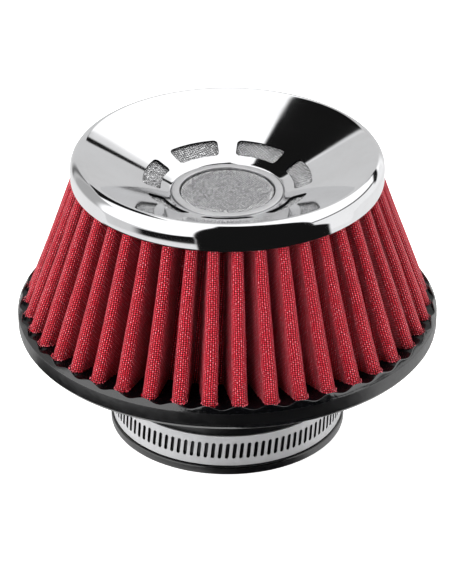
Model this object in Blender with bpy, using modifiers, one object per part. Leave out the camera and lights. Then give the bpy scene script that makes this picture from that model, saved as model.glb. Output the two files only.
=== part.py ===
"""Clamp-on conical air filter with a slotted chrome cap and a worm-drive hose clamp.

Frame: +Z runs up the filter's axis, the origin is the centre of the neck's lower end face,
and the clamp's screw lies at +Y. Sizes below are in millimetres; MM turns them into metres.
"""
import math

import bmesh
import bpy

MM = 0.001

# Driving dimensions, in millimetres
OVERALL_RADIUS = 75.0
OVERALL_HEIGHT = 106.0
BORE_RADIUS = 38.0
SEAT_RADIUS = 40.6
BEAD_RADIUS = 42.3
BASE_BOTTOM = 38.8
BASE_TOP = 46.3
FLOOR_TOP = 43.0
POTTING_INNER = 55.5
POTTING_OUTER = 71.9
RIB_INNER = 53.0
RIM_ROUND = 2.5
RIM_UNDERCUT = 1.2
NECK_FILLET = 4.0
BORE_FILLET = 3.0
BEAD_EDGE = 0.6
BEAD_SHOULDER = 1.7
SEAT_START = 2.1
TROUGH_DEPTH = 1.0

CAP_RADIUS = 55.2
CAP_ROLL = 3.5
CAP_BOTTOM = 97.4
CAP_SHEET = 0.8
CAP_SLOPE = math.radians(24.8)
CAP_FOOT_RADIUS = 20.1
CAP_SLOTS = 7
SLOT_INNER = 23.5
SLOT_OUTER = 29.8
SLOT_HALF_ANGLE = math.radians(18.8)
SLOT_CORNER = 1.5
CAP_RESIN_INNER = 38.4
CAP_RESIN_SHOULDER = 49.6
CAP_RESIN_BEVEL = (1.5, 104.0)
CAP_RESIN_EDGE_TOP = 102.0
TOP_SCREEN_EDGE = 38.0
RING_INNER = 16.9
RING_CLEAR = 0.4
RING_LIP = 1.3
RING_LIP_TOP = 0.85
RING_DEPTH = 1.4

PLEATS = 42
PLEAT_TURN = math.radians(-0.7)
PLEAT_BOTTOM = 46.6
PLEAT_TOP = 97.4
RIDGE_RADIUS = (72.9, 54.0)
VALLEY_RADIUS = (57.9, 41.4)
RIDGE_WIDTH = (4.6, 3.4)
VALLEY_GAP = (2.6, 1.7)
SEAM_WIDTH = 6.0
SEAM_THICK = 0.4
CAGE_CLEARANCE = 0.45
CAGE_SHEET = 0.5
SCREEN_THICK = 0.35
MEDIA_THICK = 0.5
TOP_MEDIA_THICK = 1.0
GAP = 0.3

BAND_BOTTOM = 3.4
BAND_WIDTH = 12.0
BAND_THICK = 0.7
BAND_PITCH = 2.54
HOUSING_SHEET = 0.6
HOUSING_REACH = 6.6
SCREW_RADIUS = 3.2
SCREW_ROOT = 2.3
SCREW_TIP = 1.9
WORM_HALF = 6.2
COLLAR_RADIUS = 3.7
COLLAR_START = 7.0
HEAD_START = 8.0
HEAD_END = 12.9
HEAD_FLATS = 7.0
DRIVER_SLOT = (3.2, 1.1, 9.0)

ROUND_STEPS = 44

BAND_INNER = SEAT_RADIUS + GAP
BAND_OUTER = BAND_INNER + BAND_THICK
BAND_MIDDLE = BAND_BOTTOM + BAND_WIDTH / 2
TAIL_INNER = BAND_OUTER + GAP
TAIL_OUTER = TAIL_INNER + BAND_THICK
SCREW_Y = TAIL_OUTER + GAP + SCREW_RADIUS


# ---------------------------------------------------------------- scene and materials

def clear_scene():
    for obj in list(bpy.data.objects):
        bpy.data.objects.remove(obj)


def new_collection(name):
    collection = bpy.data.collections.new(name)
    bpy.context.scene.collection.children.link(collection)
    return collection


def new_material(name, colour, roughness, metallic=0.0):
    mat = bpy.data.materials.new(name)
    mat.use_nodes = True
    shader = mat.node_tree.nodes["Principled BSDF"]
    shader.inputs["Base Color"].default_value = (*colour, 1.0)
    shader.inputs["Roughness"].default_value = roughness
    shader.inputs["Metallic"].default_value = metallic
    mat.diffuse_color = (*colour, 1.0)
    return mat


def place(obj, collection, mat, parent=None):
    """Link the object, give it its material and hang it on its pivot."""
    collection.objects.link(obj)
    obj.data.materials.append(mat)
    if parent is not None:
        obj.parent = parent
        obj.matrix_parent_inverse = parent.matrix_world.inverted()
    return obj


def pivot(name, collection, location):
    empty = bpy.data.objects.new(name, None)
    empty.location = location
    empty.empty_display_size = 0.01
    collection.objects.link(empty)
    bpy.context.view_layer.update()
    return empty


def mesh_object(name, verts, edges=(), faces=()):
    mesh = bpy.data.meshes.new(name)
    mesh.from_pydata([tuple(c * MM for c in v) for v in verts], list(edges), list(faces))
    mesh.validate()
    return bpy.data.objects.new(name, mesh)


# ---------------------------------------------------------------- shape helpers

def arc(centre, radius, start, end, count):
    """Points (r, z) on an arc, angles in degrees from +r towards +z."""
    points = []
    for i in range(count + 1):
        a = math.radians(start + (end - start) * i / count)
        points.append((centre[0] + radius * math.cos(a), centre[1] + radius * math.sin(a)))
    return points


def turned(name, profile, closed):
    """A profile of (r, z) points at +X, turned round Z with a Screw modifier."""
    verts = [(r, 0.0, z) for r, z in profile]
    edges = [(i, i + 1) for i in range(len(verts) - 1)]
    if closed:
        edges.append((len(verts) - 1, 0))
    obj = mesh_object(name, verts, edges)
    screw = obj.modifiers.new("turn", "SCREW")
    screw.axis = "Z"
    screw.angle = 2 * math.pi
    screw.steps = ROUND_STEPS
    screw.render_steps = ROUND_STEPS
    screw.use_merge_vertices = True
    screw.merge_threshold = 0.00001
    screw.use_smooth_shade = False
    return obj


def thicken(obj, thickness):
    """Grow an open surface inwards, away from its normals, into a sheet."""
    solid = obj.modifiers.new("sheet", "SOLIDIFY")
    solid.thickness = thickness * MM
    solid.offset = -1
    solid.use_even_offset = True
    solid.use_quality_normals = True
    return obj


def windowed_wall(name, angles, heights, radius_at, is_open, wraps):
    """An open wall round Z on a grid of angles and heights, without the cells that are open."""
    verts = []
    for z in heights:
        for a in angles:
            radius = radius_at(z)
            verts.append((radius * math.sin(a), radius * math.cos(a), z))
    columns = len(angles)
    faces = []
    for row in range(len(heights) - 1):
        for col in range(columns if wraps else columns - 1):
            if is_open(col, row):
                continue
            right = (col + 1) % columns
            low = row * columns
            high = low + columns
            faces.append((low + right, low + col, high + col, high + right))
    return mesh_object(name, verts, faces=faces)


# ---------------------------------------------------------------- rubber base

def base_moulding(collection, mat):
    """Neck, flange and outer ring in one rubber moulding."""
    rim = OVERALL_RADIUS - RIM_ROUND
    trough = FLOOR_TOP - TROUGH_DEPTH
    profile = [(POTTING_OUTER + GAP, trough), (rim - 0.2, BASE_TOP)]
    profile += arc((rim, BASE_TOP - RIM_ROUND), RIM_ROUND, 80, 0, 3)
    profile += [(OVERALL_RADIUS, BASE_BOTTOM + RIM_UNDERCUT), (OVERALL_RADIUS - 1.0, BASE_BOTTOM)]
    profile += arc((SEAT_RADIUS + NECK_FILLET, BASE_BOTTOM - NECK_FILLET), NECK_FILLET, 90, 180, 2)
    profile += [(SEAT_RADIUS, SEAT_START), (BEAD_RADIUS, BEAD_SHOULDER)]
    profile += [(BEAD_RADIUS, BEAD_EDGE), (BEAD_RADIUS - BEAD_EDGE, 0.0)]
    profile += [(BORE_RADIUS + BEAD_EDGE, 0.0), (BORE_RADIUS, BEAD_EDGE)]
    profile += arc((BORE_RADIUS + BORE_FILLET, FLOOR_TOP - BORE_FILLET), BORE_FILLET, 180, 90, 2)
    profile += [(RIB_INNER, FLOOR_TOP), (RIB_INNER + GAP, BASE_TOP)]
    profile += [(POTTING_INNER - 2 * GAP, BASE_TOP), (POTTING_INNER - GAP, trough)]
    return place(turned("base_moulding", profile, closed=True), collection, mat)


def base_potting(collection, mat):
    """Ring of poured resin that holds the lower ends of the pleats."""
    low = FLOOR_TOP - TROUGH_DEPTH + GAP
    profile = [(POTTING_INNER, BASE_TOP), (POTTING_OUTER, BASE_TOP)]
    profile += [(POTTING_OUTER, low), (POTTING_INNER, low)]
    return place(turned("base_potting", profile, closed=True), collection, mat)


# ---------------------------------------------------------------- chrome cap and its screens

def cap_height(radius):
    """Height of the cap's upper surface on its straight conical wall."""
    edge_r = CAP_RADIUS - CAP_ROLL - CAP_ROLL * math.sin(CAP_SLOPE)
    edge_z = OVERALL_HEIGHT - CAP_ROLL + CAP_ROLL * math.cos(CAP_SLOPE)
    return edge_z - (edge_r - radius) * math.tan(CAP_SLOPE)


def slot_outline(middle):
    """A sector with rounded corners, as (x, y) points round the slot."""
    corners = ((SLOT_INNER, -1), (SLOT_OUTER, -1), (SLOT_OUTER, 1), (SLOT_INNER, 1))
    points = []
    for i, (radius, side) in enumerate(corners):
        inward = SLOT_CORNER if radius == SLOT_INNER else -SLOT_CORNER
        centre_r = radius + inward
        centre_a = middle + side * (SLOT_HALF_ANGLE - SLOT_CORNER / centre_r)
        for step in range(4):
            turn = centre_a + math.radians(180 + 90 * i + 30 * step)
            x = centre_r * math.cos(centre_a) + SLOT_CORNER * math.cos(turn)
            y = centre_r * math.sin(centre_a) + SLOT_CORNER * math.sin(turn)
            points.append((x, y))
    return points


def slot_cutter(collection):
    """Seven upright prisms through the cap's cone, a bridge facing straight back."""
    verts = []
    faces = []
    low = cap_height(SLOT_INNER) - 4.0
    high = cap_height(SLOT_OUTER) + 4.0
    for k in range(CAP_SLOTS):
        outline = slot_outline(math.pi / 2 + (k + 0.5) * 2 * math.pi / CAP_SLOTS)
        count = len(outline)
        first = len(verts)
        verts += [(x, y, low) for x, y in outline]
        verts += [(x, y, high) for x, y in outline]
        faces.append(tuple(first + i for i in reversed(range(count))))
        faces.append(tuple(first + count + i for i in range(count)))
        for i in range(count):
            j = (i + 1) % count
            faces.append((first + i, first + j, first + count + j, first + count + i))
    cutter = mesh_object("slot_cutter", verts, faces=faces)
    cutter.hide_render = True
    cutter.display_type = "WIRE"
    collection.objects.link(cutter)
    return cutter


def top_cap(collection, cutters, mat):
    """Pressed cap: slotted cone, rolled rim and outer band in one sheet."""
    roll = (CAP_RADIUS - CAP_ROLL, OVERALL_HEIGHT - CAP_ROLL)
    profile = [(CAP_FOOT_RADIUS, cap_height(CAP_FOOT_RADIUS))]
    profile += arc(roll, CAP_ROLL, 90 + math.degrees(CAP_SLOPE), 0, 5)
    profile.append((CAP_RADIUS, CAP_BOTTOM))
    cap = thicken(turned("top_cap", profile, closed=False), CAP_SHEET)
    slots = cap.modifiers.new("slots", "BOOLEAN")
    slots.operation = "DIFFERENCE"
    slots.solver = "EXACT"
    slots.object = slot_cutter(cutters)
    return place(cap, collection, mat)


def centre_ring(collection, mat):
    """Collar that pins the screens in the cap's centre hole."""
    top = cap_height(CAP_FOOT_RADIUS)
    face = CAP_FOOT_RADIUS - RING_CLEAR
    lip = face + RING_LIP
    profile = [(RING_INNER, top), (face, top), (face, top - RING_LIP_TOP), (lip, top - RING_LIP_TOP)]
    profile += [(lip, top - RING_DEPTH), (RING_INNER, top - RING_DEPTH)]
    return place(turned("centre_ring", profile, closed=True), collection, mat)


def dished_layer(name, drop, thickness, collection, mat):
    """A layer that follows the cap's underside, with a flat centre; drop is below the ring."""
    flat = cap_height(CAP_FOOT_RADIUS) - RING_DEPTH - GAP - drop
    cone = CAP_SHEET / math.cos(CAP_SLOPE) + GAP + drop
    bend = SLOT_INNER - 0.2
    profile = [(0.0, flat), (CAP_FOOT_RADIUS + RING_LIP, flat)]
    profile += [(bend, cap_height(bend) - cone), (TOP_SCREEN_EDGE, cap_height(TOP_SCREEN_EDGE) - cone)]
    profile += [(r, z - thickness) for r, z in reversed(profile)]
    return place(turned(name, profile, closed=False), collection, mat)


def top_potting(collection, mat):
    """Resin ring inside the cap that holds the upper ends of the pleats."""
    inner = CAP_RESIN_INNER
    shoulder = CAP_RESIN_SHOULDER
    outer = CAP_RADIUS - CAP_SHEET - 0.4
    under = CAP_SHEET / math.cos(CAP_SLOPE) + 0.35
    bevel, bevel_top = CAP_RESIN_BEVEL
    low = PLEAT_TOP + GAP
    profile = [(inner, cap_height(inner) - under), (shoulder, cap_height(shoulder) - under)]
    profile += [(outer - bevel, bevel_top), (outer, CAP_RESIN_EDGE_TOP), (outer, low), (inner, low)]
    return place(turned("top_potting", profile, closed=True), collection, mat)


# ---------------------------------------------------------------- pleated pack

def pleat_outline(end):
    """The pack's outer outline at one end (0 bottom, 1 top): four corners a pleat."""
    pitch = 2 * math.pi / PLEATS
    points = []
    for k in range(PLEATS):
        ridge = -math.pi / 2 + PLEAT_TURN + (k + 0.5) * pitch
        half_ridge = RIDGE_WIDTH[end] / 2 / RIDGE_RADIUS[end]
        half_valley = VALLEY_GAP[end] / 2 / VALLEY_RADIUS[end]
        for angle, radius in ((ridge - half_ridge, RIDGE_RADIUS[end]),
                              (ridge + half_ridge, RIDGE_RADIUS[end]),
                              (ridge + pitch / 2 - half_valley, VALLEY_RADIUS[end]),
                              (ridge + pitch / 2 + half_valley, VALLEY_RADIUS[end])):
            points.append((radius * math.cos(angle), radius * math.sin(angle)))
    return points


def inset(points, distance):
    """The closed outline moved inwards by a distance, with mitred corners."""
    count = len(points)
    result = []
    for i in range(count):
        before, here, after = points[i - 1], points[i], points[(i + 1) % count]
        in_x, in_y = here[0] - before[0], here[1] - before[1]
        out_x, out_y = after[0] - here[0], after[1] - here[1]
        in_len, out_len = math.hypot(in_x, in_y), math.hypot(out_x, out_y)
        n1 = (-in_y / in_len, in_x / in_len)
        n2 = (-out_y / out_len, out_x / out_len)
        scale = distance / (1 + n1[0] * n2[0] + n1[1] * n2[1])
        result.append((here[0] + (n1[0] + n2[0]) * scale, here[1] + (n1[1] + n2[1]) * scale))
    return result


def pleated_layer(name, depth, thickness, collection, mat):
    """One layer of the pack, its outer side a depth inside the pack's outline."""
    low = inset(pleat_outline(0), depth)
    high = inset(pleat_outline(1), depth)
    verts = [(x, y, PLEAT_BOTTOM) for x, y in low] + [(x, y, PLEAT_TOP) for x, y in high]
    count = len(low)
    faces = [(i, (i + 1) % count, count + (i + 1) % count, count + i) for i in range(count)]
    layer = mesh_object(name, verts, faces=faces)
    return place(thicken(layer, thickness), collection, mat)


def seam_strip(collection, mat):
    """Folded strip that joins the pack's two ends, inside the back left pleat."""
    angle = math.pi / 2 + PLEAT_TURN + math.pi / PLEATS
    inner = (VALLEY_RADIUS[0] - 1.0, VALLEY_RADIUS[1] - 1.0)
    half = SEAM_THICK / 2
    box = bmesh.new()
    bmesh.ops.create_cube(box, size=1.0)
    for v in box.verts:
        top = 1 if v.co.z > 0 else 0
        radius = inner[top] + (SEAM_WIDTH if v.co.x > 0 else 0.0)
        side = half if v.co.y > 0 else -half
        x = radius * math.cos(angle) - side * math.sin(angle)
        y = radius * math.sin(angle) + side * math.cos(angle)
        v.co = (x * MM, y * MM, (PLEAT_TOP if top else PLEAT_BOTTOM) * MM)
    mesh = bpy.data.meshes.new("seam_strip")
    box.to_mesh(mesh)
    box.free()
    return place(bpy.data.objects.new("seam_strip", mesh), collection, mat)


def inner_cage(collection, mat):
    """Perforated cone that keeps the pleats from being sucked in."""
    clear = SCREEN_THICK * 2 + MEDIA_THICK + GAP * 2 + CAGE_CLEARANCE
    low, high = PLEAT_BOTTOM, PLEAT_TOP - 0.2
    radii = (VALLEY_RADIUS[0] - clear, VALLEY_RADIUS[1] - clear)
    columns, rows = 16, 3
    rib, bar = 0.3, 4.0
    pitch = 2 * math.pi / columns
    angles = [pitch * (k + part) for k in range(columns) for part in (0.0, rib)]
    row_step = (high - low - bar) / rows
    heights = [low]
    for row in range(rows):
        heights += [low + bar + row * row_step, low + (row + 1) * row_step]
    heights.append(high)

    def radius_at(z):
        return radii[0] + (radii[1] - radii[0]) * (z - low) / (high - low)

    def is_open(col, row):
        return col % 2 == 1 and row % 2 == 1

    cage = windowed_wall("inner_cage", angles, heights, radius_at, is_open, wraps=True)
    return place(thicken(cage, CAGE_SHEET), collection, mat)


# ---------------------------------------------------------------- hose clamp

def clamp_band(collection, mat, parent):
    """The band's closed loop on the neck."""
    top = BAND_BOTTOM + BAND_WIDTH
    profile = [(BAND_INNER, top), (BAND_OUTER, top), (BAND_OUTER, BAND_BOTTOM), (BAND_INNER, BAND_BOTTOM)]
    return place(turned("clamp_band", profile, closed=True), collection, mat, parent)


def clamp_tail(collection, mat, parent):
    """The band's slotted free end, which runs over the loop and under the screw."""
    pitch = BAND_PITCH / ((TAIL_INNER + TAIL_OUTER) / 2)
    before, after = 6, 10
    plain_before, plain_after = 0.8, 1.6
    slot = 0.42
    angles = []
    for k in range(-before, after + 1):
        angles += [(k - slot / 2) * pitch, (k + slot / 2) * pitch]
    angles = [angles[0] - plain_before * pitch] + angles + [angles[-1] + plain_after * pitch]
    margin = 3.0
    heights = [BAND_BOTTOM, BAND_BOTTOM + margin]
    heights += [BAND_BOTTOM + BAND_WIDTH - margin, BAND_BOTTOM + BAND_WIDTH]

    def is_open(col, row):
        return row == 1 and col % 2 == 1

    tail = windowed_wall("clamp_tail", angles, heights, lambda z: TAIL_OUTER, is_open, wraps=False)
    return place(thicken(tail, BAND_THICK), collection, mat, parent)


def clamp_housing(collection, mat, parent):
    """Arched shell over the screw, its feet beside the band's edges."""
    foot = BAND_WIDTH / 2 + GAP
    bore = SCREW_RADIUS + 0.4
    outer_foot, outer_bore = foot + HOUSING_SHEET, bore + HOUSING_SHEET
    base = BAND_INNER + 0.05
    knee, outer_knee = TAIL_OUTER + 0.35, TAIL_OUTER + 1.0
    spring, outer_spring = SCREW_Y - 2.4, SCREW_Y - 1.9
    inner = [(-foot, base), (-foot, knee), (-bore, spring)]
    inner += [(-x, y) for x, y in arc((0.0, SCREW_Y), bore, 0, 180, 8)]
    inner += [(bore, spring), (foot, knee), (foot, base)]
    outer = [(outer_foot, base), (outer_foot, outer_knee), (outer_bore, outer_spring)]
    outer += arc((0.0, SCREW_Y), outer_bore, 0, 180, 8)
    outer += [(-outer_bore, outer_spring), (-outer_foot, outer_knee), (-outer_foot, base)]
    outline = inner + outer
    curve = bpy.data.curves.new("clamp_housing", "CURVE")
    curve.dimensions = "2D"
    curve.fill_mode = "BOTH"
    curve.extrude = HOUSING_REACH * MM
    spline = curve.splines.new("POLY")
    spline.points.add(len(outline) - 1)
    for point, (w, y) in zip(spline.points, outline):
        point.co = (y * MM, w * MM, 0.0, 1.0)
    spline.use_cyclic_u = True
    housing = bpy.data.objects.new("clamp_housing", curve)
    # the outline's first axis is +Y, its second is +Z, and it is extruded along X
    housing.rotation_euler = (math.pi / 2, 0.0, math.pi / 2)
    housing.location = (0.0, 0.0, BAND_MIDDLE * MM)
    return place(housing, collection, mat, parent)


def hex_radius(angle):
    """Distance from the axis to a hexagon's side, corners at whole sixths of a turn."""
    sixth = math.pi / 3
    return HEAD_FLATS / 2 / math.cos((angle % sixth) - sixth / 2)


def thread_radius(x, angle):
    """A right-hand worm thread, shrunk to its root at both ends."""
    phase = (x / BAND_PITCH - angle / (2 * math.pi)) % 1.0
    rise = max(0.0, 1.0 - abs(phase - 0.5) / 0.32)
    return SCREW_ROOT + (SCREW_RADIUS - SCREW_ROOT) * min(1.0, rise * 1.6)


def clamp_screw(collection, cutters, mat, parent):
    """Worm, collar and slotted hexagon head, lofted along X from tip to head."""
    around = 18
    worm_steps = 15
    worm_end = WORM_HALF + 0.3

    def turned_to(radius):
        return lambda x, a: radius

    def head(x, a):
        return hex_radius(a)

    stations = [(-8.6, turned_to(1.5)), (-8.2, turned_to(SCREW_TIP)), (-worm_end, turned_to(SCREW_TIP))]
    stations.append((-worm_end, turned_to(SCREW_ROOT)))
    for i in range(worm_steps + 1):
        stations.append((-WORM_HALF + 2 * WORM_HALF * i / worm_steps, thread_radius))
    stations += [(worm_end, turned_to(SCREW_ROOT)), (COLLAR_START, turned_to(SCREW_ROOT))]
    stations += [(COLLAR_START, turned_to(COLLAR_RADIUS)), (HEAD_START, turned_to(COLLAR_RADIUS))]
    stations += [(HEAD_START, head), (HEAD_END - 0.5, head), (HEAD_END, turned_to(3.1))]
    verts = []
    for x, radius_at in stations:
        for i in range(around):
            a = 2 * math.pi * i / around
            radius = radius_at(x, a)
            verts.append((x, radius * math.cos(a), radius * math.sin(a)))
    faces = []
    for s in range(len(stations) - 1):
        for i in range(around):
            j = (i + 1) % around
            low, high = s * around, (s + 1) * around
            faces.append((low + i, low + j, high + j, high + i))
    last = (len(stations) - 1) * around
    faces.append(tuple(reversed(range(around))))
    faces.append(tuple(last + i for i in range(around)))
    screw = mesh_object("clamp_screw", verts, faces=faces)
    screw.location = (0.0, SCREW_Y * MM, BAND_MIDDLE * MM)
    bpy.ops.mesh.primitive_cube_add(size=1.0, location=(HEAD_END * MM, SCREW_Y * MM, BAND_MIDDLE * MM))
    blade = bpy.context.object
    blade.name = "blade_cutter"
    blade.scale = tuple(side * MM for side in DRIVER_SLOT)
    blade.hide_render = True
    blade.display_type = "WIRE"
    for holder in list(blade.users_collection):
        holder.objects.unlink(blade)
    cutters.objects.link(blade)
    slot = screw.modifiers.new("driver_slot", "BOOLEAN")
    slot.operation = "DIFFERENCE"
    slot.solver = "EXACT"
    slot.object = blade
    return place(screw, collection, mat, parent)


# ---------------------------------------------------------------- assembly

def build():
    clear_scene()
    parts = new_collection("air_filter")
    cutters = new_collection("cutters")
    rubber = new_material("black_rubber", (0.012, 0.012, 0.013), 0.4)
    resin = new_material("black_resin", (0.01, 0.01, 0.011), 0.2)
    chrome = new_material("chrome", (0.85, 0.85, 0.86), 0.05, 1.0)
    satin = new_material("satin_aluminium", (0.7, 0.7, 0.71), 0.35, 1.0)
    gauze = new_material("grey_gauze", (0.35, 0.35, 0.36), 0.5, 0.8)
    red = new_material("red_gauze", (0.55, 0.02, 0.06), 0.6)
    cotton = new_material("red_cotton", (0.5, 0.05, 0.08), 0.9)
    steel = new_material("galvanised_steel", (0.5, 0.5, 0.5), 0.4, 1.0)
    clamp_steel = new_material("stainless_steel", (0.6, 0.6, 0.58), 0.3, 1.0)

    base_moulding(parts, rubber)
    base_potting(parts, resin)
    top_cap(parts, cutters, chrome)
    centre_ring(parts, satin)
    dished_layer("top_outer_screen", 0.0, SCREEN_THICK, parts, gauze)
    dished_layer("top_media", SCREEN_THICK + GAP, TOP_MEDIA_THICK, parts, cotton)
    dished_layer("top_inner_screen", SCREEN_THICK + TOP_MEDIA_THICK + 2 * GAP, SCREEN_THICK, parts, gauze)
    top_potting(parts, resin)
    pleated_layer("outer_gauze", 0.0, SCREEN_THICK, parts, red)
    pleated_layer("pleated_media", SCREEN_THICK + GAP, MEDIA_THICK, parts, cotton)
    pleated_layer("inner_screen", SCREEN_THICK + MEDIA_THICK + 2 * GAP, SCREEN_THICK, parts, steel)
    seam_strip(parts, steel)
    inner_cage(parts, steel)

    clamp_pivot = pivot("clamp_pivot", parts, (0.0, 0.0, BAND_MIDDLE * MM))
    tail_pivot = pivot("tail_pivot", parts, (0.0, 0.0, BAND_MIDDLE * MM))
    screw_pivot = pivot("screw_pivot", parts, (0.0, SCREW_Y * MM, BAND_MIDDLE * MM))
    clamp_band(parts, clamp_steel, clamp_pivot)
    clamp_housing(parts, clamp_steel, clamp_pivot)
    clamp_tail(parts, clamp_steel, tail_pivot)
    clamp_screw(parts, cutters, clamp_steel, screw_pivot)


build()
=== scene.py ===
import math
import random

import bmesh
import bpy
import numpy as np
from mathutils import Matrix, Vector


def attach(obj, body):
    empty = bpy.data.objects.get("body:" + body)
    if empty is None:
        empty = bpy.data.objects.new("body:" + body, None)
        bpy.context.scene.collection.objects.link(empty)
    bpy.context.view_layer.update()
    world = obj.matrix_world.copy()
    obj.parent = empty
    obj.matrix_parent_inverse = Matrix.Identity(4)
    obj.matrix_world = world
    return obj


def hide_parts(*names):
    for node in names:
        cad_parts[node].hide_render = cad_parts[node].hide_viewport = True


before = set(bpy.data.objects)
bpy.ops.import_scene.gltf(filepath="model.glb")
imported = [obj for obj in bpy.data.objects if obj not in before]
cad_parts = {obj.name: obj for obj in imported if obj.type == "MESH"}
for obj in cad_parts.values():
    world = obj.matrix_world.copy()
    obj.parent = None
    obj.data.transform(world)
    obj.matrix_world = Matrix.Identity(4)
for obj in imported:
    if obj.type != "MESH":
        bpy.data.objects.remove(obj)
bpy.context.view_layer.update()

MM = 0.001
TAU = 2 * math.pi

# Sizes in millimetres, the same as the design's
BORE = 38.0
SEAT = 40.6
BEAD = 42.3
BASE_BOTTOM = 38.8
FLOOR_TOP = 43.0
POTTING_LEVEL = 46.1
CAP_RADIUS = 55.2
CAP_SLOTS = 7
CAP_TOP = 106.0
CAP_BOTTOM = 97.0
CAP_SHEET = 0.8
CREST = 2.1
CREST_TURN = math.radians(31)
RIM_CURVE = 4.9
CAP_SLOPE = math.radians(24.8)
CAP_FOOT = 20.1
SLOT_MIDDLE = 26.65
SLOT_DEPTH = 6.3
SLOT_WIDTH = math.radians(37.4)
PLEATS = 42
PLEAT_TURN = math.radians(-90.7)
PACK_BOTTOM = 45.6
PACK_TOP = 98.2
BAND_BOTTOM = 3.4
BAND_WIDTH = 12.0
BAND_RADIUS = 41.6
TAIL_RADIUS = 42.6
BAND_SHEET = 0.7
BAND_SLOTS = 103
BAND_PITCH = TAU * BAND_RADIUS / BAND_SLOTS
BAND_SLOT = (1.32, 6.3)
SCREW_Y = 46.1
HEAD_FLATS = 6.9
HEAD_END = 12.9
BAND_MIDDLE = BAND_BOTTOM + BAND_WIDTH / 2

# Brightness of the studio's dark parts and of its softboxes
DARK = 0.008
BOX = 1.3
DIFFUSE_GAIN = 3.7


# ================================================================ mesh helpers

def new_object(name, verts, faces):
    """A mesh object from points in millimetres."""
    mesh = bpy.data.meshes.new(name)
    points = np.asarray(verts, float) * MM
    mesh.from_pydata(points.tolist(), [], [tuple(int(i) for i in f) for f in faces])
    mesh.validate()
    obj = bpy.data.objects.new(name, mesh)
    bpy.context.scene.collection.objects.link(obj)
    return obj


def grid_faces(rows, columns, wrap_rows=False, wrap_columns=True):
    """Quads over a grid of points stored row by row."""
    faces = []
    for r in range(rows if wrap_rows else rows - 1):
        for c in range(columns if wrap_columns else columns - 1):
            r2 = (r + 1) % rows
            c2 = (c + 1) % columns
            faces.append((r * columns + c, r2 * columns + c, r2 * columns + c2, r * columns + c2))
    return faces


def apply_modifiers(obj):
    graph = bpy.context.evaluated_depsgraph_get()
    mesh = bpy.data.meshes.new_from_object(obj.evaluated_get(graph))
    old = obj.data
    obj.modifiers.clear()
    obj.data = mesh
    bpy.data.meshes.remove(old)
    return obj


def finish_mesh(obj, sharp=35.0, weld=0.002, recalc=True):
    """Weld, face outwards and shade smooth with sharp edges kept."""
    bm = bmesh.new()
    bm.from_mesh(obj.data)
    bmesh.ops.remove_doubles(bm, verts=bm.verts, dist=weld * MM)
    if recalc:
        bmesh.ops.recalc_face_normals(bm, faces=bm.faces)
    bm.to_mesh(obj.data)
    bm.free()
    obj.data.shade_smooth()
    obj.data.set_sharp_from_angle(angle=math.radians(sharp))
    return obj


def thicken(obj, thickness, offset=-1):
    solid = obj.modifiers.new("sheet", "SOLIDIFY")
    solid.thickness = thickness * MM
    solid.offset = offset
    solid.use_even_offset = True
    return apply_modifiers(obj)


def bevel(obj, width, segments=2, angle=40.0):
    mod = obj.modifiers.new("edge", "BEVEL")
    mod.width = width * MM
    mod.segments = segments
    mod.limit_method = "ANGLE"
    mod.angle_limit = math.radians(angle)
    mod.harden_normals = False
    return apply_modifiers(obj)


def arc(centre, radius, start, end, count):
    """Points (r, z) on an arc, angles in degrees from +r towards +z."""
    angles = np.radians(np.linspace(start, end, count + 1))
    return [(centre[0] + radius * math.cos(a), centre[1] + radius * math.sin(a)) for a in angles]


def rounded(corners, closed=True, steps=5):
    """A profile whose corners (r, z, fillet) are rounded by their fillets."""
    result = []
    count = len(corners)
    for i, (r, z, fillet) in enumerate(corners):
        here = Vector((r, z))
        if fillet <= 0 or (not closed and i in (0, count - 1)):
            result.append((r, z))
            continue
        before = Vector(corners[i - 1][:2]) - here
        after = Vector(corners[(i + 1) % count][:2]) - here
        angle = before.angle(after)
        reach = min(fillet / math.tan(angle / 2), before.length * 0.49, after.length * 0.49)
        start = here + before.normalized() * reach
        end = here + after.normalized() * reach
        weight = math.sin(angle / 2)
        for k in range(steps + 1):
            t = k / steps
            a, b, c = (1 - t) ** 2, 2 * t * (1 - t) * weight, t ** 2
            point = (start * a + here * b + end * c) / (a + b + c)
            result.append((point.x, point.y))
    return result


def lathe(name, profile, columns=256, closed=True):
    """A profile of (r, z) points turned round Z."""
    profile = np.asarray(profile, float)
    angles = np.linspace(0, TAU, columns, endpoint=False)
    rows = len(profile)
    points = np.zeros((rows, columns, 3))
    points[:, :, 0] = profile[:, :1] * np.cos(angles)
    points[:, :, 1] = profile[:, :1] * np.sin(angles)
    points[:, :, 2] = profile[:, 1:]
    return new_object(name, points.reshape(-1, 3), grid_faces(rows, columns, wrap_rows=closed))


# ================================================================ pierced sheets

def hole_side(straight, deep, corner, count):
    """The lower side of a rounded rectangle, from the middle of one corner to the next."""
    bend = corner * math.pi / 4
    points = []
    for s in np.linspace(0, 2 * bend + straight, count + 1):
        if s < bend:
            a = math.radians(225) + s / corner
            points.append((-straight / 2 + corner * math.cos(a), corner - deep / 2 + corner * math.sin(a)))
        elif s <= bend + straight:
            points.append((-straight / 2 + s - bend, -deep / 2))
        else:
            a = math.radians(270) + (s - bend - straight) / corner
            points.append((straight / 2 + corner * math.cos(a), corner - deep / 2 + corner * math.sin(a)))
    return points


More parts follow.
